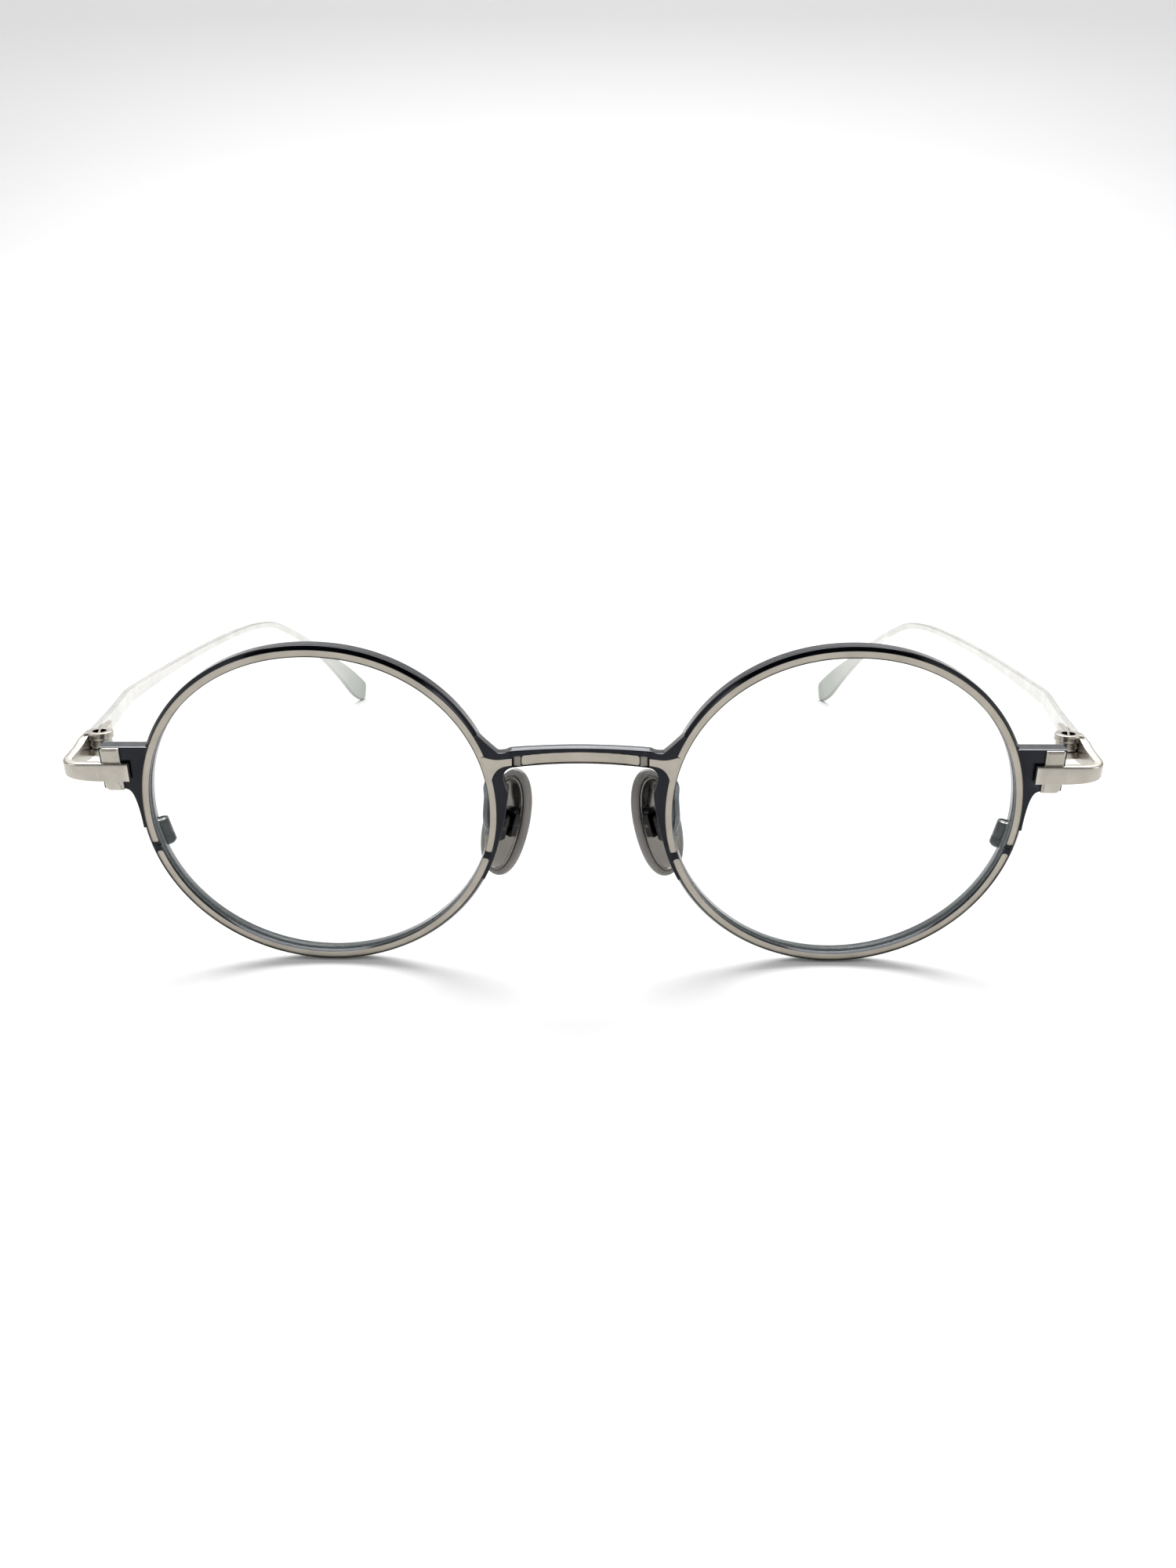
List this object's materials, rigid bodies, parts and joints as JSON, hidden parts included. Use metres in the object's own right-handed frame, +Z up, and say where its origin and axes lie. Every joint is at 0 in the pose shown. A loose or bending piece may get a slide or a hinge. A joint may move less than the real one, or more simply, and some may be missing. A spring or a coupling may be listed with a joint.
{
  "type": "eyeglasses",
  "caption": "Round metal-rimmed eyeglasses with clear lenses, folding temples and rocking nose pads, open and standing on their rims and temple tips.",
  "frame": {"origin": "middle of the underside of the open eyeglasses: centred side to side and front to back, at the lowest point", "axes": "+X to the wearer's left, +Y from the front to the ears, +Z up"},
  "size_m": [0.1428, 0.1489, 0.0446],
  "materials": {
    "navy_metal": "satin blue-black plated titanium with bare champagne tracks",
    "champagne_titanium": "brushed warm titanium with bright bevels",
    "temple_titanium": "satin pale titanium",
    "steel": "polished steel",
    "lens_plastic": "clear with a faint green coating",
    "pad_silicone": "clear soft pad",
    "pad_core_metal": "polished titanium plate under the pad skin"
  },
  "bodies": {
    "front": {"bridge": "navy_metal", "left_rim": "navy_metal", "left_lens": "lens_plastic", "left_rim_lock_upper": "navy_metal", "left_rim_lock_lower": "navy_metal", "left_rim_lock_screw": "steel", "left_endpiece": "champagne_titanium", "left_hinge_screw": "steel", "left_pad_arm": "steel", "left_pad_box": "steel", "left_pad_screw": "steel", "right_rim": "navy_metal", "right_lens": "lens_plastic", "right_rim_lock_upper": "navy_metal", "right_rim_lock_lower": "navy_metal", "right_rim_lock_screw": "steel", "right_endpiece": "champagne_titanium", "right_hinge_screw": "steel", "right_pad_arm": "steel", "right_pad_box": "steel", "right_pad_screw": "steel"},
    "left_temple_arm": {"left_temple": "temple_titanium", "left_temple_hinge": "champagne_titanium"},
    "left_pad": {"left_nose_pad": "pad_silicone", "left_pad_core": "pad_core_metal"},
    "right_temple_arm": {"right_temple": "temple_titanium", "right_temple_hinge": "champagne_titanium"},
    "right_pad": {"right_nose_pad": "pad_silicone", "right_pad_core": "pad_core_metal"}
  },
  "joints": [
    {"name": "left_temple_fold", "type": "hinge", "parent": "front", "child": "left_temple_arm", "pos_m": [0.0643, -0.06397, 0.02911], "axis": [0, 0, 1], "range_deg": [0, 88]},
    {"name": "right_temple_fold", "type": "hinge", "parent": "front", "child": "right_temple_arm", "pos_m": [-0.0643, -0.06397, 0.02911], "axis": [0, 0, -1], "range_deg": [0, 82]},
    {"name": "left_pad_rock", "type": "hinge", "parent": "front", "child": "left_pad", "pos_m": [0.01115, -0.06688, 0.01853], "axis": [0.785, 0.5641, 0.2561], "range_deg": [-8, 8]},
    {"name": "right_pad_rock", "type": "hinge", "parent": "front", "child": "right_pad", "pos_m": [-0.01115, -0.06688, 0.01853], "axis": [0.785, -0.5641, -0.2561], "range_deg": [-8, 8]}
  ]
}
